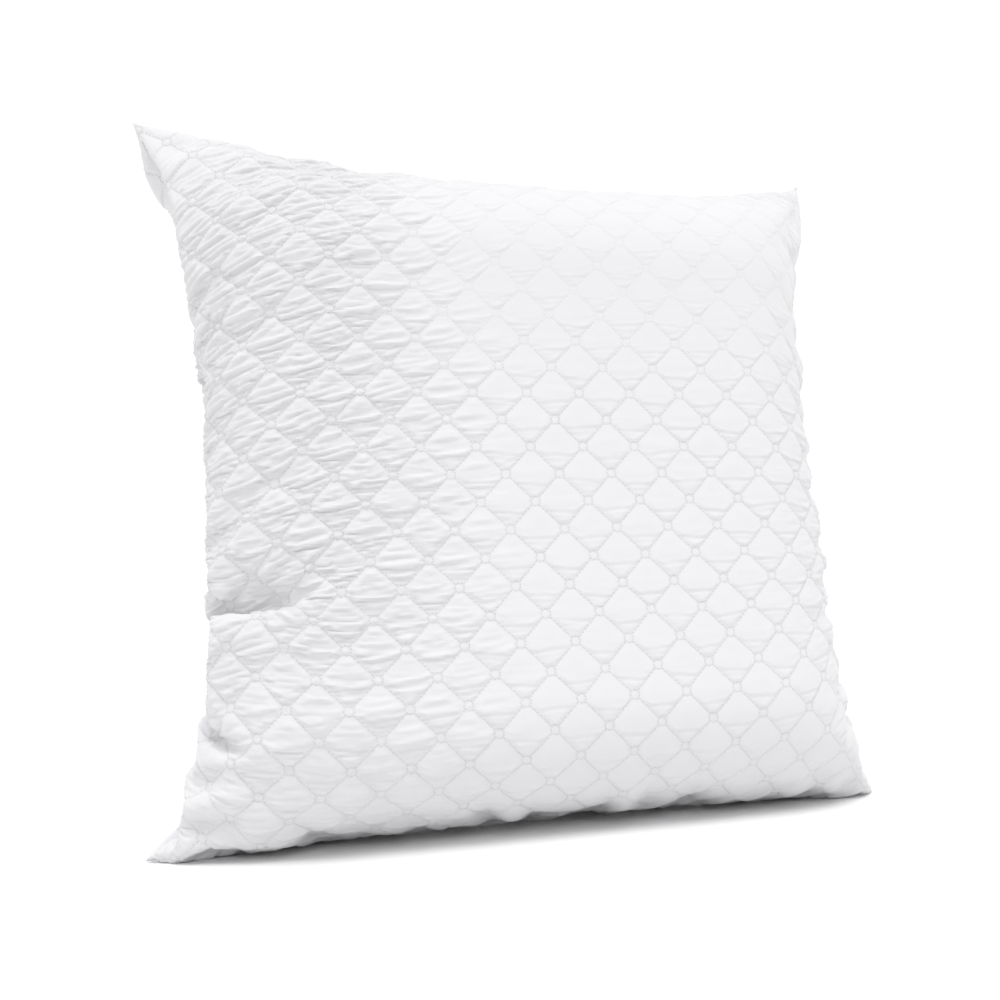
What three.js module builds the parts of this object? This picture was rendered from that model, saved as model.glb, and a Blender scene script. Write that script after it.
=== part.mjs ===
// Square bed pillow, 700 x 700 mm, standing on its lower edge and leaning back a little.
// Two quilted panels (face fabric, wadding, backing) are sewn together round a fibre filling,
// turned right side out, filled through a gap in one side and closed there.
// Units are millimetres. X runs along the pillow, Y from its front to its back, Z up.
import * as THREE from "three";

// Driving dimensions
const WIDTH = 664; // filled pillow between its left and right corner tips
const HEIGHT = 620; // between its lower and upper corner tips, along the leaning seam plane
const HALF_THICKNESS = 108; // seam plane to the crown of one panel
const SIDE_PULL_IN = 50; // how far the middle of a side seam stands in from the line of its tips
const SIDE_SHIFT = 7; // the filling has moved to the right: less pull-in there, more on the left
const TOP_PULL_IN = 40;
const BASE_PULL_IN = 0; // the floor presses the lower edge straight
const LEAN = THREE.MathUtils.degToRad(8);
const FLOOR_PRESS = 1.6; // depth of the underside that the floor presses flat
const EDGE_POWER = 0.52; // 0.5 is a round side, 1 is a sharp one
const BASE_POWER = 0.15; // the filling settles, so the lower edge is blunter
const SEAM_GAP = 0.3; // between the front and back pieces where they meet in the seam plane
const GRID = 14; // mesh cells across a panel

// Depth of each surface below the outside of the pillow: across the panel, and in from its edge
const SURFACES = {
  faceOutside: { depth: 0, inset: 0 },
  faceInside: { depth: 0.7, inset: 0.7 },
  waddingOutside: { depth: 1.1, inset: 4.4 },
  waddingInside: { depth: 5.1, inset: 8.4 },
  backingOutside: { depth: 5.6, inset: 8.9 },
  backingInside: { depth: 6.3, inset: 9.6 },
  filling: { depth: 6.9, inset: 10.2 },
};

// Threads of the seam, which lie in the seam plane between the face fabric and the wadding
const LOCKSTITCH = { inset: 1.8, radius: 0.4 };
const OVERLOCK = { inset: 3.2, radius: 0.45 };
const THREAD_SIDES = 6;
const GAP_CELLS = 1; // half the length of the filling gap, in mesh cells of the right-hand side
const THREAD_END_SPACE = 0.03; // share of a cell left between the ends of two threads

// Care label, folded flat against the back panel from the right-hand seam
const LABEL = { clearance: 0.9, thickness: 0.6, low: -0.56, high: -0.46, reach: 0.055, cells: 4 };

const FRONT = -1;
const BACK = 1;

// Share of the full thickness at panel position (s, t), each from -1 to 1.
function thicknessShare(s, t) {
  const fromSides = Math.max(0, 1 - s * s);
  const fromEnds = Math.max(0, 1 - t * t);
  return fromSides ** EDGE_POWER * fromEnds ** (t < 0 ? BASE_POWER : EDGE_POWER);
}

// A point of the upright, unpressed pillow: side is FRONT or BACK.
function uprightPoint(s, t, side, { depth, inset }) {
  const halfWidth = WIDTH / 2 - SIDE_PULL_IN * (1 - t * t) - inset;
  const endPullIn = t > 0 ? TOP_PULL_IN : BASE_PULL_IN;
  const halfHeight = HEIGHT / 2 - endPullIn * (1 - s * s) - inset;
  const thickness = (HALF_THICKNESS - depth) * thicknessShare(s, t);
  const y = side * (thickness + SEAM_GAP / 2);
  return new THREE.Vector3(s * halfWidth + SIDE_SHIFT * (1 - t * t), y, t * halfHeight);
}

// Leans an upright point back about the X axis.
function leaned(point) {
  return point.applyAxisAngle(new THREE.Vector3(1, 0, 0), -LEAN);
}

// Positions of the mesh lines across a panel, closer together towards its edges.
const STATIONS = Array.from({ length: GRID + 1 }, (_, i) => Math.sin((Math.PI / 2) * ((2 * i) / GRID - 1)));

// The floor lies FLOOR_PRESS above the lowest point of the unpressed outside.
const LOWEST = Math.min(
  ...STATIONS.flatMap((t) => [FRONT, BACK].map((side) => leaned(uprightPoint(0, t, side, SURFACES.faceOutside)).z)),
);
const FLOOR = LOWEST + FLOOR_PRESS;

// A point of the standing pillow. Below the floor it slides up along the leaning seam plane,
// so that the front and the back stay on their own sides of it.
function standingPoint(s, t, side, surface) {
  const point = leaned(uprightPoint(s, t, side, surface));
  const rise = Math.max(0, FLOOR + surface.inset - point.z);
  return point.addScaledVector(leaned(new THREE.Vector3(0, 0, 1)), rise / Math.cos(LEAN)).setZ(point.z - FLOOR);
}

// Closed geometry from two point grids of the same size, top and bottom, joined round their edges.
function slab(top, bottom) {
  const rows = top.length;
  const columns = top[0].length;
  const vertices = [top, bottom].flatMap((grid) => grid.flatMap((row) => row.flatMap((p) => [p.x, p.y, p.z])));
  const topIndex = (r, c) => r * columns + c;
  const bottomIndex = (r, c) => rows * columns + topIndex(r, c);
  const faces = [];
  for (let r = 0; r < rows - 1; r += 1) {
    for (let c = 0; c < columns - 1; c += 1) {
      // The diagonal points at the nearest corner of the panel, so that the ears keep their thickness.
      const towardsCorner = (2 * r < rows - 1) === (2 * c < columns - 1);
      for (const [index, flip] of [[topIndex, false], [bottomIndex, true]]) {
        const quad = [index(r, c), index(r, c + 1), index(r + 1, c + 1), index(r + 1, c)];
        const [i, j, k, l] = towardsCorner ? quad : [...quad.slice(1), quad[0]];
        if (flip) faces.push(i, k, j, i, l, k);
        else faces.push(i, j, k, i, k, l);
      }
    }
  }
  const rim = [];
  for (let c = 0; c < columns - 1; c += 1) rim.push([0, c]);
  for (let r = 0; r < rows - 1; r += 1) rim.push([r, columns - 1]);
  for (let c = columns - 1; c > 0; c -= 1) rim.push([rows - 1, c]);
  for (let r = rows - 1; r > 0; r -= 1) rim.push([r, 0]);
  rim.forEach(([r, c], i) => {
    const [nextR, nextC] = rim[(i + 1) % rim.length];
    const [a, b] = [topIndex(r, c), topIndex(nextR, nextC)];
    const [d, e] = [bottomIndex(r, c), bottomIndex(nextR, nextC)];
    faces.push(b, a, d, b, d, e);
  });
  const geometry = new THREE.BufferGeometry();
  geometry.setAttribute("position", new THREE.Float32BufferAttribute(vertices, 3));
  geometry.setIndex(faces);
  geometry.computeVertexNormals();
  return geometry;
}

// Grid of standing points over one surface of the front or the back.
function surfaceGrid(side, surface, across = STATIONS, up = STATIONS) {
  return up.map((t) => across.map((s) => standingPoint(s, t, side, surface)));
}

// One layer of a quilted panel, between an outer and an inner surface.
function panelLayer(side, outer, inner) {
  const outerGrid = surfaceGrid(side, outer);
  const innerGrid = surfaceGrid(side, inner);
  return side === FRONT ? slab(outerGrid, innerGrid) : slab(innerGrid, outerGrid);
}

// The loose filling, one body from the front backing to the back backing.
function fillingBody() {
  return slab(surfaceGrid(FRONT, SURFACES.filling), surfaceGrid(BACK, SURFACES.filling));
}

// Anticlockwise walk round the seam, as [column, row] of the mesh lines, from one row of the
// right-hand side round to another.
function seamWalk(fromRow, toRow) {
  const steps = Array.from({ length: GRID }, (_, i) => i);
  const loop = [
    ...steps.map((i) => [GRID, i]),
    ...steps.map((i) => [GRID - i, GRID]),
    ...steps.map((i) => [0, GRID - i]),
    ...steps.map((i) => [i, 0]),
  ];
  const length = toRow > fromRow ? toRow - fromRow : toRow - fromRow + loop.length;
  return Array.from({ length: length + 1 }, (_, i) => loop[(fromRow + i) % loop.length]);
}

// Points of a seam thread along such a walk; endSpace shortens both ends by that share of a cell.
function seamRoute(walk, inset, endSpace) {
  const middle = { depth: HALF_THICKNESS, inset };
  const points = walk.map(([column, row]) => {
    const [s, t] = [STATIONS[column], STATIONS[row]];
    return standingPoint(s, t, FRONT, middle).lerp(standingPoint(s, t, BACK, middle), 0.5);
  });
  const last = points.length - 1;
  points[0].lerp(points[1], endSpace);
  points[last].lerp(points[last - 1], endSpace);
  return points;
}

// A thread of round section through points that lie in the leaning seam plane, with closed ends.
function threadThrough(points, radius) {
  const planeNormal = leaned(new THREE.Vector3(0, 1, 0));
  const rings = points.map((point, i) => {
    const before = points[Math.max(i - 1, 0)];
    const after = points[Math.min(i + 1, points.length - 1)];
    const arriving = point.clone().sub(before).normalize();
    const leaving = after.clone().sub(point).normalize();
    const heading = arriving.clone().add(leaving).normalize();
    const mitre = 1 / Math.max(heading.dot(arriving), heading.dot(leaving));
    const outward = new THREE.Vector3().crossVectors(heading, planeNormal).multiplyScalar(mitre);
    return Array.from({ length: THREAD_SIDES }, (_, k) => {
      const angle = (2 * Math.PI * k) / THREAD_SIDES;
      const offset = outward.clone().multiplyScalar(Math.cos(angle)).addScaledVector(planeNormal, Math.sin(angle));
      return point.clone().addScaledVector(offset, radius);
    });
  });
  const faces = [];
  for (let i = 0; i < rings.length - 1; i += 1) {
    for (let k = 0; k < THREAD_SIDES; k += 1) {
      const next = (k + 1) % THREAD_SIDES;
      const [a, b] = [i * THREAD_SIDES + k, i * THREAD_SIDES + next];
      const [c, d] = [b + THREAD_SIDES, a + THREAD_SIDES];
      faces.push(a, c, b, a, d, c);
    }
  }
  const lastRing = (rings.length - 1) * THREAD_SIDES;
  for (let k = 1; k < THREAD_SIDES - 1; k += 1) {
    faces.push(0, k, k + 1);
    faces.push(lastRing, lastRing + k + 1, lastRing + k);
  }
  const geometry = new THREE.BufferGeometry();
  const vertices = rings.flatMap((ring) => ring.flatMap((p) => [p.x, p.y, p.z]));
  geometry.setAttribute("position", new THREE.Float32BufferAttribute(vertices, 3));
  geometry.setIndex(faces);
  geometry.computeVertexNormals();
  return geometry;
}

// Care label: a flat strip just outside the back panel, from the right-hand seam inwards.
function careLabel() {
  const steps = Array.from({ length: LABEL.cells + 1 }, (_, i) => i / LABEL.cells);
  const across = steps.map((k) => 1 - LABEL.reach * (1 - k));
  const up = steps.map((k) => LABEL.low + (LABEL.high - LABEL.low) * k);
  const near = { depth: -LABEL.clearance, inset: -LABEL.clearance };
  const far = { depth: near.depth - LABEL.thickness, inset: near.inset - LABEL.thickness };
  return slab(surfaceGrid(BACK, near, across, up), surfaceGrid(BACK, far, across, up));
}

const whiteFabric = { color: 0xf1f0f4, roughness: 0.85, metalness: 0 };
const whiteWadding = { color: 0xf6f5f2, roughness: 1, metalness: 0 };
const paleBacking = { color: 0xe9e8e4, roughness: 0.95, metalness: 0 };
const whiteThread = { color: 0xededee, roughness: 0.7, metalness: 0 };
const labelSatin = { color: 0xf7f7f7, roughness: 0.45, metalness: 0 };

const pillow = new THREE.Group();

function add(name, geometry, finish) {
  const mesh = new THREE.Mesh(geometry, new THREE.MeshStandardMaterial(finish));
  mesh.name = name;
  pillow.add(mesh);
}

for (const [name, side] of [["front", FRONT], ["back", BACK]]) {
  add(`${name}_face_fabric`, panelLayer(side, SURFACES.faceOutside, SURFACES.faceInside), whiteFabric);
  add(`${name}_wadding`, panelLayer(side, SURFACES.waddingOutside, SURFACES.waddingInside), whiteWadding);
  add(`${name}_backing`, panelLayer(side, SURFACES.backingOutside, SURFACES.backingInside), paleBacking);
}
add("fibre_filling", fillingBody(), whiteWadding);

// The assembly seam stops at the filling gap in the right-hand side, and the closing seam fills it.
const gapTop = GRID / 2 + GAP_CELLS;
const gapBottom = GRID / 2 - GAP_CELLS;
const assemblyWalk = seamWalk(gapTop, gapBottom);
const closingWalk = seamWalk(gapBottom, gapTop);
for (const [name, walk, { inset, radius }, endSpace] of [
  ["assembly_seam_thread", assemblyWalk, LOCKSTITCH, THREAD_END_SPACE],
  ["overlock_seam_thread", assemblyWalk, OVERLOCK, THREAD_END_SPACE],
  ["closing_seam_thread", closingWalk, LOCKSTITCH, 0],
]) {
  add(name, threadThrough(seamRoute(walk, inset, endSpace), radius), whiteThread);
}
add("care_label", careLabel(), labelSatin);

// The origin is the centre of the box's underside.
const box = new THREE.Box3().setFromObject(pillow);
const centre = box.getCenter(new THREE.Vector3());
pillow.position.set(-centre.x, -centre.y, 0);

export default pillow;
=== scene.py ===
"""A square quilted bed pillow that stands on its lower edge and leans back a little.

The shape is worked out here in two passes of plain position-based cloth on square grids. In the first, the
two sewn panels relax while the filling holds them at a given depth from the seam plane. In the second, the
face cloth settles between the welded lines of its quilting.
"""

import math

import bpy
import mathutils
import numpy as np
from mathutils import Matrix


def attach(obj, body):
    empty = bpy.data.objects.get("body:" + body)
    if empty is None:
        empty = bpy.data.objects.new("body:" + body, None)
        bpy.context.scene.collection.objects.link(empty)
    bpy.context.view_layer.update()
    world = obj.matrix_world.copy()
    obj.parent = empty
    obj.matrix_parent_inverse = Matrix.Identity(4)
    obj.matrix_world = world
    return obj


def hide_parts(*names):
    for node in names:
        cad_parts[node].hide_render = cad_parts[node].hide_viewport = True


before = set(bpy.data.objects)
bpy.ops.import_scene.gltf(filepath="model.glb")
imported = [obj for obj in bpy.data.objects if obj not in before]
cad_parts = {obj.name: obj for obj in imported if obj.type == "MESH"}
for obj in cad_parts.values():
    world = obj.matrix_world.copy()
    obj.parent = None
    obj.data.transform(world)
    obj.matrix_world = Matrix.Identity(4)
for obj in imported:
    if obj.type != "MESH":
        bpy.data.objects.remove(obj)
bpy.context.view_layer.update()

# Driving dimensions, in millimetres unless a name says otherwise
PANEL = 700.0  # side of a sewn panel, flat
LEAN = math.radians(8)  # the pillow leans back by this much
BASE_SEAM_Y = -36.0  # the lower seam lies this far in front of the frame's origin
LOFT = (106.0, 99.0)  # where the filling stops pushing the front and back panels from the seam plane
RISE = (159.0, 173.0, 163.0, 166.0)  # flat distance from the left, right, lower and upper seams to there
FULLER = (-0.04, -0.02)  # share by which the filling is thicker (negative: thinner) at right and on top
EAR_ROUND = 1.3  # the less, the farther the roundness of the sides runs out into the ears
LOW_EAR_FULL = 5.0  # as many times that is added toward the lower right ear, which is fuller
SEAM_REACH = 120.0  # how far into the panels the depth of the seams is felt
HOLD = 0.3  # how firmly the filling holds the panels
LEVELS = ((28, 400), (56, 250), (112, 120))  # cells along a panel's side, and steps, from coarse to fine
SQUEEZE = 0.1  # how firmly a panel's threads resist being pushed together
SHEAR = 0.15  # how firmly its bias resists
PANEL_BEND = 0.1  # how firmly it resists bending
DRIFT = 0.85  # share of its speed that a panel keeps from step to step
FLAT_LOFT = 100.0  # half thickness of the panels before they relax
FLAT_SHARE = 0.93  # distance between the seams then, as a share of the flat panel

# Folds that run in from the left, right, lower and upper seams: height, width of a fold, distance in which
# they die away, and how far they slant for each millimetre from the seam
GATHERS = (
    (8.0, 19.0, 90.0, -0.35),
    (5.0, 17.0, 55.0, 0.1),
    (6.0, 21.0, 50.0, 0.3),
    (4.0, 21.0, 40.0, -0.6),
)
GATHER_LENGTH = 70.0  # distance from the seam in which such a fold changes
GATHER_SEEDS = (3, 4)  # for the front and the back panel
EAR_FOLDS = 3.0  # height of the folds that fan out from the ears
EAR_FOLD_TURN = 0.19  # angle between them, in radians

SWELL = 0.06  # how hard the left wall of the front panel swells past its seam
SWELL_REACH = 150.0  # width of that wall
BACK_SWELL = 0.3  # the same for the back panel's left wall, just below the upper left ear
BACK_REACH = 80.0
SWELL_CELL = 12.5  # cell size for which both are given
BACK_POCKET = 12.0  # how far that wall may reach past the seam

# Quilting and face cloth
HALF_PITCH = 23.1  # half the distance between quilting rings along a row
LEFT_RING = -12.1  # quilting coordinates of the panel's lower left corner, in half pitches
LOWER_RING = 9.89
RING_RADIUS = 3.8
DASHES = 9  # welded dashes on a ring and on each side of a diamond
DASH_SHARE = 0.6  # length of a dash in its pitch
DASH_EDGES = (0.35, 0.95)  # half width of a dash, where its dent starts to fade and where it ends
WELD_REACH = 0.9  # half width of a welded line
WELD_DEPTH = 0.3  # welded lines below the face of the panel
PUFF = 0.65  # cloth above the face of the panel in the middle of a diamond
PUFF_REACH = 3.0  # distance from a weld in which it gets there
FACE_CELLS = 448  # cells along a side of the face cloth
FACE_STEPS = 80
SPARE = (0.39, 0.008, 0.02)  # share of spare cloth on the left, everywhere, and on the right
WRINKLE_SEED = 0.5  # height of the ripples from which the wrinkles grow
FINE_RIPPLE = (21.0, 4.6)  # length and width of the fine ripples, and of the broad ones
BROAD_RIPPLE = (30.0, 9.0)
WRINKLE_CLIMB = 0.62  # slope of the wrinkles beside the upper left ear
CLIMB_REACH = 170.0  # distance from the left seam in which they level out
TIGHT_UP = (380.0, 520.0)  # the cloth is drawn smooth above these heights
TIGHT_IN = (160.0, 290.0)  # and farther than this from the left seam
WADDING_LOFT = 2.2  # highest that the cloth stands off the panel
LEFT_LOFT = 1.2  # share added to that in the band of wrinkles on the left
BEND = 0.035  # how strongly the face cloth resists bending
SAG = 0.012  # how far gravity draws the face cloth down in one step
SAG_FOLD = 0.55  # depth of the folds left in each diamond by its sagging cloth

# Layers and threads inside: depths below the panel of each layer's faces, and how many cells of the coarse
# inner panels it stays clear of the seam
WADDING = (5.4, 8.2, 3)
BACKING = (8.5, 9.1, 4)
FILLING = (10.0, 5)
CLEAR_OF_SEAM = 0.4  # nearest that a layer comes to the seam plane
CREASE_CLEARANCE = 30.0  # width beside a crease in which the inner layers draw back from it
LOCKSTITCH_RADIUS = 0.3
OVERLOCK_RADIUS = 0.35  # also that of the closing stitches
GAP = (44, 68)  # grid lines between which the filling gap in the right-hand seam is closed
LABEL_REACH = 24.0  # the care label stands this far out of the seam
LABEL_HEIGHTS = (150.0, 188.0)  # and runs between these flat heights of the right-hand seam

# Left seam of the standing pillow, which the creases and the ear draw out of true: place along the sewn
# side, then X, depth behind the seam plane and height in it
LEFT_SEAM = [
    (0, -335, -2, 1), (36, -303, -3, 20), (82, -296, -6, 60), (133, -284, -9, 101),
    (190, -271, -14, 150), (250, -262, -12, 190), (300, -267, -6, 232), (352, -269, -4, 283),
    (403, -266, -2, 333), (437, -265, -2, 366), (486, -277, -6, 413), (570, -286, -20, 493),
    (628, -301, -24, 547), (700, -333, -14, 614),
]

# The other seams run from tip to tip and bow out of the straight line between them: X, depth and height of
# the bow at its middle, and its power (1 is a sine, less is squarer)
LOWER_LEFT = (-335, -2, 1)
UPPER_LEFT = (-333, -14, 614)
LOWER_RIGHT = (325, 0, 1)
UPPER_RIGHT = (328, 0, 610)
RIGHT_BOW = (-42, 8, -19)
RIGHT_POWER = 0.55
UPPER_BOW = (12, 7, -41)
UPPER_POWER = 0.7
LOWER_BOW = (2, 1, 7)
LOWER_POWER = 2.0

# Colours of the cloth and of the painted shade in the dents of its welded dashes, and the lights
FACE_LIGHT = (0.745, 0.745, 0.76, 1)
FACE_WARM = (0.735, 0.73, 0.745, 1)
# Painted shade: a grey mixed a little into the colour of the welded dashes, for the shade that falls in
# their dents
DASH_SHADE_COLOUR = (0.60, 0.60, 0.63, 1)
DASH_SHADE_SHARE = 0.06  # share of that painted shade's grey in a welded dash
LOW_WORLD = 0.5  # strength of the white surroundings: in front of the pillow near the floor
FRONT_WORLD = 0.91  # in front and overhead
BACK_WORLD = 1.08  # behind it, at eye level
BACK_HIGH = 0.85  # behind it, overhead
KEY_TOWARD = (0.07, 0.37, -0.93)  # the way the sun shines
KEY_STRENGTH = 1.4
KEY_SPREAD = 30  # degrees

# Camera: focal length in millimetres on a 36 mm sensor, its place in metres, and its turns in degrees
LENS = 46.8
CAMERA_PLACE = (-0.398, -1.092, 0.208)
CAMERA_YAW, CAMERA_PITCH, CAMERA_ROLL = 18.96, -3.59, -1.83

# Deep creases of the front panel: flat positions, depth behind the seam plane there, and how far the panel
# sinks toward them above and below
CREASES = [
    {
        "line": [(0, 252), (21, 250), (48, 240), (85, 240), (118, 243), (139, 252), (168, 272)],
        "fall": [0, 6, 16, 22, 18, 12, 6],
        "above": 30.0,
        "below": 4.0,
        "bunch": 6.0,
    },
    {
        "line": [(0, 137), (23, 134), (55, 128), (90, 124)],
        "fall": [0, 6, 12, 6],
        "above": 8.0,
        "below": 5.0,
        "bunch": 3.0,
    },
]


def lumps(x, y, rng, size=64):
    """Smooth random values from -1 to 1 at places x, y, which count in lumps; they repeat after size."""
    table = rng.uniform(-1, 1, (size, size)).astype(np.float32)
    i, j = np.floor(x).astype(int), np.floor(y).astype(int)
    s, t = x - i, y - j
    s, t = s * s * (3 - 2 * s), t * t * (3 - 2 * t)
    i0, i1, j0, j1 = i % size, (i + 1) % size, j % size, (j + 1) % size
    low = table[i0, j0] * (1 - s) + table[i1, j0] * s
    high = table[i0, j1] * (1 - s) + table[i1, j1] * s
    return low * (1 - t) + high * t


def flat_grid(n):
    """Flat places u from the left seam and v from the lower seam, on a panel of n by n cells."""
    return np.meshgrid(*[np.linspace(0, PANEL, n + 1)] * 2, indexing="ij")


def soft_step(x, low, high):
    """From 0 to 1 while x runs from low to high."""
    t = np.clip((x - low) / (high - low), 0, 1)
    return t * t * (3 - 2 * t)


def smooth_through(knots, s):
    """Points of a smooth curve through (place, value, value ...) knots at the places s."""
    table = np.array(knots, float)
    t, v = table[:, 0], table[:, 1:]
    slope = np.gradient(v, t, axis=0)
    i = np.clip(np.searchsorted(t, s, side="right") - 1, 0, len(t) - 2)
    gap = (t[i + 1] - t[i])[:, None]
    x = ((s - t[i]) / gap[:, 0])[:, None]
    start = v[i] * (1 + 2 * x) * (1 - x) ** 2 + v[i + 1] * x * x * (3 - 2 * x)
    return start + gap * (slope[i] * x * (1 - x) ** 2 - slope[i + 1] * x * x * (1 - x))


def link(a, b, rest, squeeze, stretch):
    """Moves pairs of points toward their rest distance: by squeeze if too close, by stretch if too far."""
    d = b - a
    length = np.sqrt(np.einsum("...i,...i->...", d, d)) + 1e-9
    error = 1 - rest / length
    d *= (np.where(error < 0, squeeze, stretch) * 0.5 * error)[..., None]
    a += d
    b -= d


def keep_flat(p, rest, bend):
    """Pushes apart the points two cells from each other, so that the cloth between them resists bending."""
    for q in (p, p.transpose(1, 0, 2)):
        for s in range(4):
            a, b = q[s::4], q[s + 2 :: 4]
            pairs = min(len(a), len(b))
            link(a[:pairs], b[:pairs], rest, bend, 0.0)


def relax(p, cell):
    """One pass over a panel's threads, its bias and its bending."""
    n = len(p) - 1
    diagonal = cell * math.sqrt(2)
    for s in (0, 1):
        link(p[s:n:2], p[s + 1 : n + 1 : 2], cell, SQUEEZE, 1.0)
        link(p[:, s:n:2], p[:, s + 1 : n + 1 : 2], cell, SQUEEZE, 1.0)
    for s in (0, 1):
        link(p[s:n:2, :-1], p[s + 1 : n + 1 : 2, 1:], diagonal, SHEAR * 0.3, SHEAR)
        link(p[s:n:2, 1:], p[s + 1 : n + 1 : 2, :-1], diagonal, SHEAR * 0.3, SHEAR)
    keep_flat(p, 2 * cell, PANEL_BEND)


def outward(p, side):
    """Unit normals of a panel that point away from the filling; side is -1 in front and 1 behind."""
    n = np.cross(np.gradient(p, axis=0), np.gradient(p, axis=1))
    n /= np.linalg.norm(n, axis=-1, keepdims=True) + 1e-9
    return n * (side * np.sign(n[..., 1].sum()))


def finer(p):
    """The same surface with every cell halved, by four-point interpolation."""
    for axis in (0, 1):
        q = np.moveaxis(p, axis, 0)
        pad = np.concatenate([2 * q[:1] - q[1:2], q, 2 * q[-1:] - q[-2:-1]])
        middle = (9 * (pad[1:-2] + pad[2:-1]) - pad[:-3] - pad[3:]) / 16
        r = np.empty((2 * len(q) - 1,) + q.shape[1:], q.dtype)
        r[::2], r[1::2] = q, middle
        p = np.moveaxis(r, 0, axis)
    return np.ascontiguousarray(p)


def to_room(p):
    """From the pillow's own axes (X, depth behind the seam plane, height in it) to the frame's."""
    c, s = math.cos(LEAN), math.sin(LEAN)
    x, depth, height = p[..., 0], p[..., 1], p[..., 2]
    return np.stack([x, height * s + depth * c + BASE_SEAM_Y, height * c - depth * s], -1)


def onto_floor(p):
    """Lifts whatever is under the floor."""
    c, s = math.cos(LEAN), math.sin(LEAN)
    under = np.minimum(0, p[..., 2] * c - p[..., 1] * s)
    p[..., 2] -= under * c
    p[..., 1] += under * s


def flat_pillow(n):
    """Both panels before they are filled out: a thin lens between straight seams."""
    t = np.linspace(-1, 1, n + 1)
    u, v = np.meshgrid(t, t, indexing="ij")
    bulge = FLAT_LOFT * np.sqrt(np.clip((1 - u * u) * (1 - v * v), 0, None))
    x, height = u * FLAT_SHARE * PANEL / 2, (v + 1) * FLAT_SHARE * PANEL / 2
    return [np.stack([x, side * bulge, height], -1) for side in (-1, 1)]


def bowed(start, end, bow, power, n):
    """Points from start to end, bowed out of the straight line between them."""
    t = np.linspace(0, 1, n + 1)[:, None]
    straight = np.array(start) * (1 - t) + np.array(end) * t
    return straight + np.array(bow) * np.abs(np.sin(math.pi * t)) ** power


def seam_points(n):
    """Where the left, right, upper and lower seams run, one point per grid line."""
    left = smooth_through(LEFT_SEAM, np.linspace(0, PANEL, n + 1))
    right = bowed(LOWER_RIGHT, UPPER_RIGHT, RIGHT_BOW, RIGHT_POWER, n)
    upper = bowed(UPPER_LEFT, UPPER_RIGHT, UPPER_BOW, UPPER_POWER, n)
    lower = bowed(LOWER_LEFT, LOWER_RIGHT, LOWER_BOW, LOWER_POWER, n)
    return [left, right, upper, lower]


SEAM_PLACES = [(0, slice(None)), (-1, slice(None)), (slice(None), -1), (slice(None), 0)]


def sew(panels, seams, hold):
    """Joins the edges of both panels and draws them toward the seams."""
    front, back = panels
    for place, line in zip(SEAM_PLACES, seams):
        middle = (front[place] + back[place]) / 2
        middle += (line - middle) * hold
        front[place] = middle
        back[place] = middle


def quarter_round(distance, width):
    """From 0 at a seam to 1 where the cloth has turned level, along a quarter of a round section."""
    return np.sin(np.clip(distance / width, 0, 1) * math.pi / 2)


def filled_depth(n, loft):
    """How far the filling holds each point of a panel from the seam plane."""
    u, v = flat_grid(n)
    left, right, lower, upper = RISE
    across = quarter_round(u, left) * quarter_round(PANEL - u, right) + 1e-3
    upright = quarter_round(v, lower) * quarter_round(PANEL - v, upper) + 1e-3
    power = EAR_ROUND * (1 + LOW_EAR_FULL * soft_step(u, 350, 600) * (1 - soft_step(v, 100, 350)))
    share = (across**-power + upright**-power - 1) ** (-1 / power)
    return loft * share * (1 + FULLER[0] * (u / PANEL - 0.5) + FULLER[1] * (v / PANEL - 0.5))


def seam_depth(seams):
    """Depth of the seams themselves, carried a little way into the panels."""
    left, right, upper, lower = [line[:, 1] for line in seams]
    near = 1 - soft_step(np.linspace(0, PANEL, len(left)), 0, SEAM_REACH)
    depth = np.outer(near, left) + np.outer(near[::-1], right)
    return depth + np.outer(upper - depth[:, -1], near[::-1]) + np.outer(lower - depth[:, 0], near)


def gathers(n, seed):
    """Depth of the folds that run in from the seams, where the cloth is longer than the filling needs."""
    rng = np.random.default_rng(seed)
    u, v = flat_grid(n)
    depth = np.zeros((n + 1, n + 1))
    sides = ((u, v), (PANEL - u, v), (v, u), (PANEL - v, u))
    for (distance, along), (height, wave, reach, slant) in zip(sides, GATHERS):
        fold = lumps(distance / GATHER_LENGTH + 0.3, (along + slant * distance) / wave, rng)
        depth += height * fold * soft_step(distance, 0, 22) * np.exp(-distance / reach)
    for corner_u, corner_v in ((0, 0), (0, PANEL), (PANEL, 0), (PANEL, PANEL)):
        away_u, away_v = abs(u - corner_u), abs(v - corner_v)
        away = np.hypot(away_u, away_v)
        turn = np.arctan2(away_v, away_u + 1e-6)
        fold = lumps(away / 200, turn / EAR_FOLD_TURN, rng)
        fade = soft_step(away, 15, 60) * (1 - soft_step(away, 90, 210)) * np.sin(2 * turn)
        depth += EAR_FOLDS * fold * fade
    return depth


def add_crease(depth, crease):
    """Draws the front panel's depth into a crease, whose lower side is the steeper one."""
    u, v = flat_grid(len(depth) - 1)
    line = np.array(crease["line"], float)
    across = v - np.interp(u, line[:, 0], line[:, 1])
    reach = np.where(across > 0, crease["above"], crease["below"])
    end = line[-1, 0]
    fade = np.clip((end - u) / (0.35 * end), 0, 1)
    fall = np.interp(u, line[:, 0], crease["fall"]) * fade * np.exp(-((across / reach) ** 2))
    bunch = lumps(u / 17, across / 13, np.random.default_rng(8)) * np.exp(-(((across - 18) / 20) ** 2))
    fall += crease["bunch"] * bunch * fade * soft_step(u, 5, 30)
    depth -= np.minimum(fall, 0.9 * depth)


def panel_depths(n):
    """Depth at which the filling holds both panels, with their folds and the creases of the front one."""
    depths = [filled_depth(n, loft) for loft in LOFT]
    for depth, seed in zip(depths, GATHER_SEEDS):
        depth -= gathers(n, seed) * np.clip(depth / 25, 0, 1)
    if n > LEVELS[0][0]:
        for crease in CREASES:
            add_crease(depths[0], crease)
    return depths


def wall_swell(t, cell, strength, reach, where):
    """How far a left wall moves out in one step: most in the middle of its reach, scaled by where."""
    return strength * cell / SWELL_CELL * np.outer(np.sin(np.clip(t / reach, 0, 1) * math.pi), where)


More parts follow.
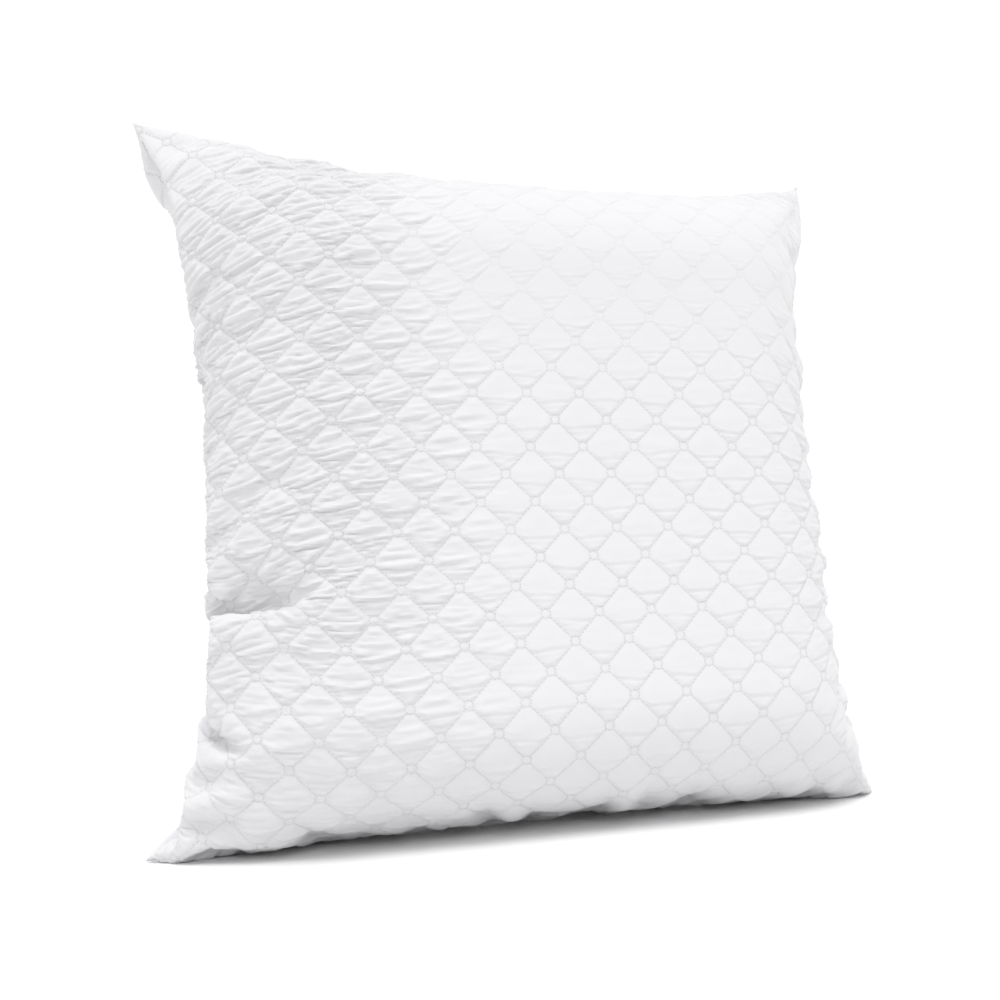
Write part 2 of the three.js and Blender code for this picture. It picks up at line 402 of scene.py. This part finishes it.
def relax_level(panels, n, steps):
    """Relaxes both panels on one grid, in place."""
    cell = PANEL / n
    seams = seam_points(n)
    depths = panel_depths(n)
    base = seam_depth(seams)
    t = np.linspace(0, PANEL, n + 1)
    wall = soft_step(t, 20, 50) * (0.5 + 0.5 * soft_step(t, 110, 210)) * (1 - soft_step(t, 540, 610))
    pocket = soft_step(t, 600, 640) * (1 - soft_step(t, 655, 690))
    swell = wall_swell(t, cell, SWELL, SWELL_REACH, wall)
    back_swell = wall_swell(t, cell, BACK_SWELL, BACK_REACH, pocket)
    speeds = [np.zeros_like(p) for p in panels]
    for _ in range(steps):
        before = [p.copy() for p in panels]
        for p, speed in zip(panels, speeds):
            p += speed * DRIFT
        panels[0][..., 0] -= swell
        panels[1][..., 0] -= back_swell
        for _ in range(2):
            for p, side, depth in zip(panels, (-1, 1), depths):
                relax(p, cell)
                p[..., 1] += (base + side * depth - p[..., 1]) * HOLD
            sew(panels, seams, 0.5)
            panels[1][..., 0] = np.maximum(panels[1][..., 0], seams[0][:, 0] - BACK_POCKET * pocket)
            panels[1][..., 2] = np.minimum(panels[1][..., 2], seams[2][:, 2:])
            for p in panels:
                onto_floor(p)
        for p, speed, old in zip(panels, speeds, before):
            speed[...] = np.clip(p - old, -0.3 * cell, 0.3 * cell)


def fill_out():
    """Sewn panels held out by the filling while their cloth relaxes, on finer and finer grids."""
    panels = flat_pillow(LEVELS[0][0])
    for n, steps in LEVELS:
        while len(panels[0]) - 1 < n:
            panels = [finer(p) for p in panels]
        relax_level(panels, n, steps)
    return panels


def quilting(u, v):
    """Distances of panel points from the nearest welded line and from the nearest ring's centre."""
    a, b = LEFT_RING + u / HALF_PITCH, LOWER_RING - v / HALF_PITCH
    p, q = (a + b) / 2, (a - b) / 2
    near_p, near_q = np.round(p), np.round(q)
    line = np.minimum(np.abs(p - near_p), np.abs(q - near_q)) * HALF_PITCH * math.sqrt(2)
    ring = np.hypot(a - near_p - near_q, b - near_p + near_q) * HALF_PITCH
    return line, ring


def smoothed(p, times, amount):
    """Moves a grid's inner points toward the mean of their four neighbours, in place."""
    for _ in range(times):
        mean = (p[:-2, 1:-1] + p[2:, 1:-1] + p[1:-1, :-2] + p[1:-1, 2:]) / 4
        p[1:-1, 1:-1] += (mean - p[1:-1, 1:-1]) * amount
    return p


def wrinkle_slope(u, v):
    """How steeply the wrinkles climb toward the right: most near the upper left ear."""
    return WRINKLE_CLIMB * (0.25 + 0.75 * v / PANEL) * np.exp(-u / CLIMB_REACH)


def wrinkle_climb(u, v):
    """How far a wrinkle has climbed between the left seam and u."""
    return WRINKLE_CLIMB * CLIMB_REACH * (0.25 + 0.75 * v / PANEL) * (1 - np.exp(-u / CLIMB_REACH))


def tight_zone(u, v):
    """1 near the upper right, where the cloth is drawn smooth, and 0 elsewhere."""
    return soft_step(v, *TIGHT_UP) * soft_step(u, *TIGHT_IN)


def spare_cloth(u, v):
    """Share by which the face cloth is longer than the panel under it, across the wrinkles."""
    left = 1 - soft_step(u, 130, 330)
    right = soft_step(u, 560, 660)
    lower = 1 - soft_step(v, 120, 280)
    ear = 1 - soft_step(np.hypot(u, PANEL - v), 60, 170)
    rim = 0.35 + 0.65 * soft_step(u, 5, 60)
    spare = (SPARE[1] + SPARE[0] * left + SPARE[2] * right) * (1 - 0.65 * lower)
    return spare * (1 - 0.85 * tight_zone(u, v)) * (1 - 0.85 * ear) * rim


def sag_folds(u, v, rng):
    """Depth of the two small folds across each diamond, where its cloth has sagged: one low, one high."""
    a, b = LEFT_RING + u / HALF_PITCH, LOWER_RING - v / HALF_PITCH
    p, q = np.floor((a + b) / 2), np.floor((a - b) / 2)
    across, up = a - (p + q + 1), (p - q) - b
    jitter = [t[p.astype(int) % 64, q.astype(int) % 64] for t in rng.uniform(-1, 1, (4, 64, 64))]
    depth = 0.0
    folds = ((-0.36, 0.9, jitter[0], jitter[2]), (0.48, 0.4, jitter[1], jitter[3]))
    for place, strength, shift, change in folds:
        course = place + 0.11 * shift - 0.12 * across * across + 0.14 * change * across
        fold = np.exp(-(((up - course) / 0.055) ** 2))
        depth = depth + strength * (1 + 0.6 * shift * change) * fold
    return depth


def rest_lengths(u, v, cell):
    """Rest lengths of a grid's links along u, along v and along both diagonals."""
    angle = np.arctan(wrinkle_slope(u, v))
    spare = spare_cloth(u, v)
    across_u, across_v = -np.sin(angle), np.cos(angle)

    def length(du, dv, cut):
        reach = math.hypot(du, dv)
        share = 1 + 0.004 + spare * ((du * across_u + dv * across_v) / reach) ** 2
        return (cell * reach * share)[cut].astype(np.float32)

    inner = (slice(None, -1), slice(None, -1))
    return (
        length(1, 0, (slice(None, -1), slice(None))),
        length(0, 1, (slice(None), slice(None, -1))),
        length(1, 1, inner),
        length(1, -1, inner),
    )


def settle(p, rests, bend_rest):
    """One pass over the links of the face cloth."""
    n = len(p) - 1
    along_u, along_v, rising, falling = rests
    for s in (0, 1):
        link(p[s:n:2], p[s + 1 : n + 1 : 2], along_u[s::2], 0.9, 1.0)
        link(p[:, s:n:2], p[:, s + 1 : n + 1 : 2], along_v[:, s::2], 0.9, 1.0)
        link(p[s:n:2, :-1], p[s + 1 : n + 1 : 2, 1:], rising[s::2], 0.4, 0.4)
        link(p[s:n:2, 1:], p[s + 1 : n + 1 : 2, :-1], falling[s::2], 0.4, 0.4)
    keep_flat(p, bend_rest, BEND)


def weld_hold(line, ring, rim):
    """How firmly each point is welded down: 1 on welded lines and rings and in the seam, 0 between them."""
    on_line = np.exp(-((line / WELD_REACH) ** 2)) * (ring > RING_RADIUS)
    on_ring = np.exp(-(((ring - RING_RADIUS) / WELD_REACH) ** 2))
    hold = np.clip(np.maximum(on_line, on_ring) * 1.2, 0, 1)
    return np.where(rim < 1e-6, 1, hold)[..., None].astype(np.float32)


def ripples(u, v, rng):
    """Height of the ripples and sagging folds from which the wrinkles grow."""
    course = v - wrinkle_climb(u, v)
    sway = lumps(u / 60, v / 60, rng)
    fine = lumps(u / FINE_RIPPLE[0] + 5, course / FINE_RIPPLE[1] + sway, rng)
    broad = lumps(u / BROAD_RIPPLE[0] + 3, course / BROAD_RIPPLE[1], rng)
    ripple = (fine + 0.6 * broad) * np.sqrt(spare_cloth(u, v) / 0.03) * WRINKLE_SEED
    ripple *= 0.4 + 0.6 * soft_step(u, 10, 70)
    return ripple - SAG_FOLD * sag_folds(u, v, rng) * (1 - 0.9 * tight_zone(u, v))


def downhill(base):
    """Unit directions down the cloth of a panel."""
    down = -np.gradient(base, axis=1)
    down /= np.linalg.norm(down, axis=-1, keepdims=True)
    return down


def quilt(panel, side, rng):
    """A filled-out panel with its quilting: the face cloth puffs and wrinkles between the welded lines."""
    base = panel.astype(np.float32)
    while len(base) - 1 < FACE_CELLS:
        base = finer(base)
    u, v = flat_grid(FACE_CELLS)
    line, ring = quilting(u, v)
    rim = np.minimum(np.minimum(u, PANEL - u), np.minimum(v, PANEL - v))
    near_rim = np.clip(rim / 8, 0, 1)
    hold = weld_hold(line, ring, rim)
    normal = outward(base, side).astype(np.float32)
    weld_depth = WELD_DEPTH * near_rim * (1 - 0.85 * tight_zone(u, v))
    welded = (base - normal * weld_depth[..., None]).astype(np.float32)
    puff = PUFF * (1 - np.exp(-np.minimum(line, np.abs(ring - RING_RADIUS)) / PUFF_REACH)) * near_rim
    puff *= 1 - 0.8 * tight_zone(u, v)
    seed = ripples(u, v, rng) * near_rim
    cloth = (base + normal * (puff + seed)[..., None]).astype(np.float32)
    cell = PANEL / FACE_CELLS
    rests = rest_lengths(u, v, cell)
    bend_rest = np.float32(2 * cell)
    sag = (downhill(base) * SAG).astype(np.float32)
    highest = WADDING_LOFT * (1 + LEFT_LOFT * soft_step(u, 20, 80) * (1 - soft_step(u, 130, 330)))
    for _ in range(FACE_STEPS):
        cloth += sag
        settle(cloth, rests, bend_rest)
        cloth += (welded - cloth) * hold
        lift = np.einsum("...i,...i->...", cloth - base, normal)
        cloth -= normal * (lift - np.clip(lift, -WELD_DEPTH, highest))[..., None]
    smoothed(cloth, 1, 0.15)
    onto_floor(cloth)
    return cloth


# ---------------------------------------------------------------- meshes


def new_mesh(name, points, faces):
    """A smooth mesh object from points in millimetres, riding on the pillow's one body."""
    mesh = bpy.data.meshes.new(name)
    mesh.vertices.add(len(points))
    mesh.vertices.foreach_set("co", (points / 1000).astype(np.float32).ravel())
    sizes = faces.shape[1]
    mesh.loops.add(faces.size)
    mesh.loops.foreach_set("vertex_index", faces.astype(np.int32).ravel())
    mesh.polygons.add(len(faces))
    mesh.polygons.foreach_set("loop_start", np.arange(0, faces.size, sizes, dtype=np.int32))
    mesh.polygons.foreach_set("use_smooth", np.ones(len(faces), bool))
    mesh.update(calc_edges=True)
    mesh.validate()
    obj = bpy.data.objects.new(name, mesh)
    bpy.context.scene.collection.objects.link(obj)
    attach(obj, "root")
    return obj


def grid_faces(rows, columns, flip=False):
    """Quads of a grid of points, row by row."""
    i = np.arange(rows * columns).reshape(rows, columns)
    quads = np.stack([i[:-1, :-1], i[1:, :-1], i[1:, 1:], i[:-1, 1:]], -1).reshape(-1, 4)
    return quads[:, ::-1] if flip else quads


def add_panel_uv(obj, rows, columns):
    """UV map that holds the flat position on the panel, from 0 to 1."""
    u, v = np.meshgrid(np.linspace(0, 1, rows), np.linspace(0, 1, columns), indexing="ij")
    flat = np.stack([u, v], -1).reshape(-1, 2).astype(np.float32)
    loops = np.empty(len(obj.data.loops), np.int32)
    obj.data.loops.foreach_get("vertex_index", loops)
    layer = obj.data.uv_layers.new(name="panel")
    layer.data.foreach_set("uv", flat[loops].ravel())


def panel_object(name, cloth, side):
    """The face of one panel."""
    n = len(cloth)
    points = to_room(cloth.astype(float)).reshape(-1, 3)
    obj = new_mesh(name, points, grid_faces(n, n, side > 0))
    add_panel_uv(obj, n, n)
    return obj


def inner_panels(panels):
    """Coarser panels for the layers inside, drawn back from the creases, to stay under the face cloth."""
    coarse = [smoothed(p[::2, ::2].copy(), 3, 0.5) for p in panels]
    u, v = flat_grid(len(coarse[0]) - 1)
    for crease in CREASES:
        line = np.array(crease["line"], float)
        end = line[-1, 0]
        off = v - np.interp(u, line[:, 0], line[:, 1])
        sink = np.interp(u, line[:, 0], crease["fall"]) * (1 - soft_step(u, end, end + 30))
        sink *= np.exp(-((off / CREASE_CLEARANCE) ** 2))
        coarse[0][..., 0] += sink * (1 - soft_step(u, 75, 140))
        coarse[0][..., 1] += sink
    return coarse


def layer_skin(panel, side, depth, margin):
    """One face of a layer: a panel moved inward by depth, less its outer cells, on its side of the seam."""
    skin = (panel - outward(panel, side) * depth)[margin:-margin, margin:-margin]
    skin[..., 1] = side * np.maximum(side * skin[..., 1], CLEAR_OF_SEAM)
    return skin


def closed_body(name, skins, side):
    """A body between two grids of points, outer face first, closed by a wall round their edges."""
    n = len(skins[0])
    points = np.concatenate([to_room(s).reshape(-1, 3) for s in skins])
    i = np.arange(n * n).reshape(n, n)
    rim = np.concatenate([i[:-1, 0], i[-1, :-1], i[:0:-1, -1], i[0, :0:-1]])
    far = np.roll(rim, -1)
    wall = np.stack([rim, far, far + n * n, rim + n * n], -1)
    if side < 0:
        wall = wall[:, ::-1]
    faces = np.concatenate([grid_faces(n, n, side > 0), grid_faces(n, n, side < 0) + n * n, wall])
    return new_mesh(name, points, faces)


def slab_object(name, panel, side, layer):
    """A closed layer between two depths below a panel."""
    outer, inner, margin = layer
    skins = [layer_skin(panel, side, depth, margin) for depth in (outer, inner)]
    return closed_body(name, skins, side)


def filling_object(panels):
    """The fibre filling: one closed body between both panels."""
    depth, margin = FILLING
    skins = [layer_skin(panel, side, depth, margin) for panel, side in zip(panels, (-1, 1))]
    return closed_body("filling", skins, -1)


def tube_object(name, path, radius, sides=6):
    """A round thread along a path of points."""
    tangent = np.gradient(path, axis=0)
    tangent /= np.linalg.norm(tangent, axis=1, keepdims=True)
    across = np.cross(tangent, [0.0, 1.0, 0.02])
    across /= np.linalg.norm(across, axis=1, keepdims=True)
    other = np.cross(tangent, across)
    turn = np.linspace(0, 2 * math.pi, sides, endpoint=False)
    ring = across[:, None] * np.cos(turn)[:, None] + other[:, None] * np.sin(turn)[:, None]
    points = (path[:, None] + ring * radius).reshape(-1, 3)
    i = np.arange(len(points)).reshape(-1, sides)
    j = np.roll(i, -1, axis=1)
    faces = np.stack([i[:-1], i[1:], j[1:], j[:-1]], -1).reshape(-1, 4)
    return new_mesh(name, points, faces)


def seam_loop(panels, inset):
    """Points once round the seam, a number of grid cells inside its edge, from the upper right ear down."""
    middle = (panels[0] + panels[1]) / 2
    along = slice(inset, -inset)
    right = middle[-1 - inset, along][::-1]
    lower = middle[along, inset][::-1]
    left = middle[inset, along]
    upper = middle[along, -1 - inset]
    return np.concatenate([right, lower[1:], left[1:], upper[1:-1]])


# ---------------------------------------------------------------- materials


class Nodes:
    """A node tree, with short ways to add to it."""

    def __init__(self, tree):
        self.tree = tree

    def node(self, kind, settings=(), **inputs):
        """A new node with its settings and inputs; an underscore in an input's name stands for a space."""
        made = self.tree.nodes.new(kind)
        for key, value in dict(settings).items():
            setattr(made, key, value)
        for key, value in inputs.items():
            self.put(made.inputs[key.replace("_", " ")], value)
        return made

    def put(self, socket, value):
        """Links a socket to another one, or sets it to a plain value."""
        if isinstance(value, bpy.types.NodeSocket):
            self.tree.links.new(value, socket)
        else:
            socket.default_value = value

    def math(self, operation, a, b=0.0, c=0.0):
        made = self.tree.nodes.new("ShaderNodeMath")
        made.operation = operation
        for socket, value in zip(made.inputs, (a, b, c)):
            self.put(socket, value)
        return made.outputs[0]

    def ramp(self, value, low, high, start=0.0, end=1.0):
        """Smooth change from start to end while value runs from low to high."""
        made = self.tree.nodes.new("ShaderNodeMapRange")
        made.interpolation_type = "SMOOTHSTEP"
        for socket, v in zip(made.inputs, (value, low, high, start, end)):
            self.put(socket, v)
        return made.outputs[0]

    def noise(self, vector, scale, detail=2.0, roughness=0.5):
        made = self.node("ShaderNodeTexNoise", Scale=scale, Detail=detail, Roughness=roughness)
        self.put(made.inputs["Vector"], vector)
        return made.outputs["Fac"]

    def mix(self, share, a, b):
        made = self.tree.nodes.new("ShaderNodeMix")
        made.data_type = "RGBA"
        self.put(made.inputs[0], share)
        self.put(made.inputs[6], a)
        self.put(made.inputs[7], b)
        return made.outputs[2]

    def bump(self, height, distance, strength=1.0, normal=None):
        made = self.node("ShaderNodeBump", Height=height, Distance=distance, Strength=strength)
        if normal is not None:
            self.put(made.inputs["Normal"], normal)
        return made.outputs["Normal"]


class Shader(Nodes):
    """A node material."""

    def __init__(self, name):
        self.material = bpy.data.materials.new(name)
        self.material.use_nodes = True
        super().__init__(self.material.node_tree)
        self.surface = self.tree.nodes["Principled BSDF"]

    def finish(self, **inputs):
        """Sets the surface and gives back the material."""
        for key, value in inputs.items():
            self.put(self.surface.inputs[key.replace("_", " ")], value)
        return self.material


def dash(shader, along, pitch):
    """1 within the dashes of a dashed line."""
    place = shader.math("FRACT", shader.math("DIVIDE", along, pitch))
    off = shader.math("ABSOLUTE", shader.math("SUBTRACT", place, 0.5))
    return shader.ramp(off, DASH_SHARE / 2 - 0.08, DASH_SHARE / 2 + 0.08, 1.0, 0.0)


def quilting_nodes(s, flat):
    """How deep the quilting's welded dashes are, from 0 to 1, at a flat place on the panel."""
    a = s.math("MULTIPLY_ADD", flat.outputs["X"], PANEL / HALF_PITCH, LEFT_RING)
    b = s.math("MULTIPLY_ADD", flat.outputs["Y"], -PANEL / HALF_PITCH, LOWER_RING)
    p = s.math("MULTIPLY", s.math("ADD", a, b), 0.5)
    q = s.math("MULTIPLY", s.math("SUBTRACT", a, b), 0.5)
    off_p = s.math("SUBTRACT", p, s.math("ROUND", p))
    off_q = s.math("SUBTRACT", q, s.math("ROUND", q))
    ring_x = s.math("ADD", off_p, off_q)
    ring_y = s.math("SUBTRACT", off_p, off_q)
    squares = s.math("ADD", s.math("POWER", ring_x, 2.0), s.math("POWER", ring_y, 2.0))
    radius = s.math("MULTIPLY", s.math("SQRT", squares), HALF_PITCH)
    turn = s.math("DIVIDE", s.math("ARCTAN2", ring_y, ring_x), 2 * math.pi)
    outside = s.ramp(radius, RING_RADIUS + 0.6, RING_RADIUS + 1.2)
    pitch = HALF_PITCH * math.sqrt(2)
    lines = []
    for off, along in ((off_p, q), (off_q, p)):
        across = s.math("MULTIPLY", s.math("ABSOLUTE", off), pitch)
        near = s.ramp(across, *DASH_EDGES, 1.0, 0.0)
        dashes = dash(s, s.math("MULTIPLY", along, pitch), pitch / DASHES)
        lines.append(s.math("MULTIPLY", near, dashes))
    line = s.math("MULTIPLY", s.math("MAXIMUM", *lines), outside)
    from_ring = s.math("ABSOLUTE", s.math("SUBTRACT", radius, RING_RADIUS))
    ring = s.math("MULTIPLY", s.ramp(from_ring, *DASH_EDGES, 1.0, 0.0), dash(s, turn, 1 / DASHES))
    return s.math("MAXIMUM", line, ring)


def face_cloth():
    """White brushed microfibre with the welded dashes of the quilting: dented by bump and darkened a little
    with painted shade.
    """
    s = Shader("white_microfibre")
    panel = s.node("ShaderNodeUVMap", {"uv_map": "panel"}).outputs["UV"]
    flat = s.node("ShaderNodeSeparateXYZ", Vector=panel)
    high = s.ramp(flat.outputs["Y"], *(v / PANEL for v in TIGHT_UP))
    tight = s.math("MULTIPLY", high, s.ramp(flat.outputs["X"], *(u / PANEL for u in TIGHT_IN)))
    fade = s.math("MULTIPLY_ADD", tight, -0.6, 1.0)
    weld = s.math("MULTIPLY", quilting_nodes(s, flat), fade)
    place = s.node("ShaderNodeTexCoord").outputs["Object"]
    mottle = s.noise(place, 14.0, 3.0)
    nap = s.noise(place, 900.0, 2.0, 0.6)
    cloth = s.mix(mottle, FACE_LIGHT, FACE_WARM)
    # Painted shade: the welded dashes are darkened a little toward a grey, for the shade in their dents;
    # less where the cloth is drawn tight
    colour = s.mix(s.math("MULTIPLY", weld, DASH_SHADE_SHARE), cloth, DASH_SHADE_COLOUR)
    brushed = s.bump(nap, 0.00012, 0.5)
    dented = s.bump(s.math("MULTIPLY", weld, -1.0), 0.0004, 1.0, brushed)
    return s.finish(
        Base_Color=colour, Roughness=0.82, Normal=dented, Sheen_Weight=0.25, Sheen_Roughness=0.45,
        Specular_IOR_Level=0.25,
    )


def fibre_material(name, light, dark, scale, roughness):
    """Loose or felted polyester fibre: streaky noise in colour and height."""
    s = Shader(name)
    place = s.node("ShaderNodeTexCoord").outputs["Object"]
    stretched = s.node("ShaderNodeMapping", Vector=place, Scale=(1.0, 0.4, 2.5)).outputs["Vector"]
    streaks = s.noise(stretched, scale, 6.0, 0.7)
    tangle = s.noise(place, scale * 2.3, 4.0, 0.65)
    height = s.math("ADD", streaks, tangle)
    return s.finish(
        Base_Color=s.mix(streaks, light, dark), Roughness=roughness, Normal=s.bump(height, 0.001, 0.8),
        Sheen_Weight=0.2,
    )


def thread_material():
    """Twisted sewing thread."""
    s = Shader("sewing_thread")
    place = s.node("ShaderNodeTexCoord").outputs["Object"]
    diagonal = {"bands_direction": "DIAGONAL"}
    twist = s.node("ShaderNodeTexWave", diagonal, Vector=place, Scale=900.0, Distortion=0.4)
    shade = s.mix(twist.outputs["Fac"], (0.84, 0.84, 0.86, 1), (0.72, 0.72, 0.75, 1))
    return s.finish(Base_Color=shade, Roughness=0.45, Normal=s.bump(twist.outputs["Fac"], 0.0001, 0.6))


def satin_material():
    """Blank woven satin tape of the care label."""
    s = Shader("satin_tape")
    place = s.node("ShaderNodeTexCoord").outputs["Object"]
    upright = {"bands_direction": "Z"}
    weave = s.node("ShaderNodeTexWave", upright, Vector=place, Scale=700.0, Distortion=0.8)
    shade = s.mix(weave.outputs["Fac"], (0.88, 0.88, 0.89, 1), (0.8, 0.8, 0.82, 1))
    ribbed = s.bump(weave.outputs["Fac"], 0.00005, 0.4)
    return s.finish(Base_Color=shade, Roughness=0.35, Normal=ribbed, Sheen_Weight=0.1)


# ---------------------------------------------------------------- pieces


def face_panels(panels):
    """Front and back panel with their quilting; gives back the cloth of the back one."""
    rng = np.random.default_rng(11)
    cloths = [quilt(panel, side, rng) for panel, side in zip(panels, (-1, 1))]
    front = panel_object("front_panel", cloths[0], -1)
    back = panel_object("back_panel", cloths[1], 1)
    material = face_cloth()
    for obj in (front, back):
        obj.data.materials.append(material)
    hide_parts("front_face_fabric")
    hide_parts("back_face_fabric")
    return cloths[1]


def inner_layers(panels):
    """Wadding and backing of both panels, and the filling between them."""
    wadding_fibre = fibre_material("wadding_fibre", (0.9, 0.9, 0.9, 1), (0.8, 0.8, 0.81, 1), 160.0, 0.9)
    nonwoven = fibre_material("nonwoven_backing", (0.86, 0.86, 0.87, 1), (0.76, 0.76, 0.78, 1), 420, 0.7)
    loose_fibre = fibre_material("fibre_fill", (0.92, 0.92, 0.92, 1), (0.78, 0.78, 0.8, 1), 70.0, 0.95)
    coarse = inner_panels(panels)
    for panel, side, word in zip(coarse, (-1, 1), ("front", "back")):
        wadding = slab_object(f"{word}_wadding_layer", panel, side, WADDING)
        wadding.data.materials.append(wadding_fibre)
        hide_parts(f"{word}_wadding")
        backing = slab_object(f"{word}_backing_layer", panel, side, BACKING)
        backing.data.materials.append(nonwoven)
        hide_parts(f"{word}_backing")
    filling = filling_object(coarse)
    filling.data.materials.append(loose_fibre)
    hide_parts("fibre_filling")


def seam_threads(panels):
    """Lockstitch and overlock round the seam, and the stitches that close the filling gap beside them."""
    gap = ((panels[0] + panels[1]) / 2)[-2, GAP[0] : GAP[1]] + np.array([0.9, 0, 0])
    material = thread_material()
    for name, path, radius, node in (
        ("seam_lockstitch", seam_loop(panels, 1), LOCKSTITCH_RADIUS, "assembly_seam_thread"),
        ("seam_overlock", seam_loop(panels, 2), OVERLOCK_RADIUS, "overlock_seam_thread"),
        ("closing_stitches", gap, OVERLOCK_RADIUS, "closing_seam_thread"),
    ):
        obj = tube_object(name, to_room(path), radius)
        obj.data.materials.append(material)
        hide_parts(node)


def care_label(back_cloth):
    """Care label: a short blank tape sewn into the right-hand seam, lying on the back panel."""
    rows, columns = 13, 17
    low, high = LABEL_HEIGHTS
    out = np.linspace(0, LABEL_REACH, rows)
    up = np.linspace(low, high, columns)
    cell = PANEL / (len(back_cloth) - 1)
    normal = outward(back_cloth.astype(float), 1)
    i = np.clip(np.round((PANEL - out) / cell).astype(int), 0, len(back_cloth) - 1)
    j = np.round(up / cell).astype(int)
    base = smoothed(back_cloth[np.ix_(i, j)].astype(float), 12, 0.6)
    away = smoothed(normal[np.ix_(i, j)], 12, 0.6)
    share = out / LABEL_REACH
    curl = 0.4 + 3.2 * np.sin(share * math.pi / 2) + share**2
    points = to_room(base + away * curl[:, None, None]).reshape(-1, 3)
    obj = new_mesh("care_label_tape", points, grid_faces(rows, columns, True))
    obj.data.materials.append(satin_material())
    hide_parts("care_label")


# ---------------------------------------------------------------- floor, light and camera


def floor_object():
    """A plain white studio floor."""
    half = 6.0  # metres
    mesh = bpy.data.meshes.new("floor")
    corners = [(x * half, y * half, 0) for x, y in ((-1, -1), (1, -1), (1, 1), (-1, 1))]
    mesh.from_pydata(corners, [], [(0, 1, 2, 3)])
    obj = bpy.data.objects.new("floor", mesh)
    bpy.context.scene.collection.objects.link(obj)
    s = Shader("floor_white")
    place = s.node("ShaderNodeTexCoord").outputs["Object"]
    grain = s.noise(place, 30.0, 3.0)
    shade = s.mix(grain, (0.93, 0.93, 0.93, 1), (0.91, 0.91, 0.91, 1))
    obj.data.materials.append(s.finish(Base_Color=shade, Roughness=0.9, Specular_IOR_Level=0.1))


def key_light():
    """A wide, soft sun from above and in front."""
    light = bpy.data.lights.new("key", "SUN")
    light.energy = KEY_STRENGTH
    light.angle = math.radians(KEY_SPREAD)
    obj = bpy.data.objects.new("key", light)
    obj.rotation_mode = "QUATERNION"
    obj.rotation_quaternion = mathutils.Vector(KEY_TOWARD).to_track_quat("-Z", "Y")
    bpy.context.scene.collection.objects.link(obj)


def surroundings():
    """A white world, dimmer near the floor in front of the pillow and a little brighter behind it."""
    world = bpy.data.worlds.new("studio")
    world.use_nodes = True
    s = Nodes(world.node_tree)
    background = s.tree.nodes["Background"]
    background.inputs["Color"].default_value = (1, 1, 1, 1)
    direction = s.node("ShaderNodeTexCoord").outputs["Generated"]
    toward = s.node("ShaderNodeSeparateXYZ", Vector=direction)
    ahead = s.ramp(toward.outputs["Z"], -0.1, 0.45, LOW_WORLD, FRONT_WORLD)
    behind = s.ramp(toward.outputs["Z"], 0.42, 0.6, BACK_WORLD, BACK_HIGH)
    s.put(background.inputs["Strength"], s.ramp(toward.outputs["Y"], -0.2, 0.4, ahead, behind))
    bpy.context.scene.world = world


def camera():
    """A camera in front of the pillow's left half, looking up a little."""
    lens = bpy.data.cameras.new("camera")
    lens.lens = LENS
    lens.sensor_width = 36.0
    obj = bpy.data.objects.new("camera", lens)
    yaw, pitch, roll = (math.radians(turn) for turn in (CAMERA_YAW, CAMERA_PITCH, CAMERA_ROLL))
    level = math.cos(pitch)
    forward = mathutils.Vector((math.sin(yaw) * level, math.cos(yaw) * level, -math.sin(pitch)))
    obj.location = CAMERA_PLACE
    obj.rotation_mode = "QUATERNION"
    aim = forward.to_track_quat("-Z", "Y")
    obj.rotation_quaternion = aim @ mathutils.Quaternion((0, 0, 1), roll)
    bpy.context.scene.collection.objects.link(obj)
    bpy.context.scene.camera = obj


# ---------------------------------------------------------------- the pillow in its studio

panels = fill_out()
back_cloth = face_panels(panels)
inner_layers(panels)
seam_threads(panels)
care_label(back_cloth)
surroundings()
key_light()
floor_object()
bpy.context.scene.view_settings.view_transform = "Standard"
camera()
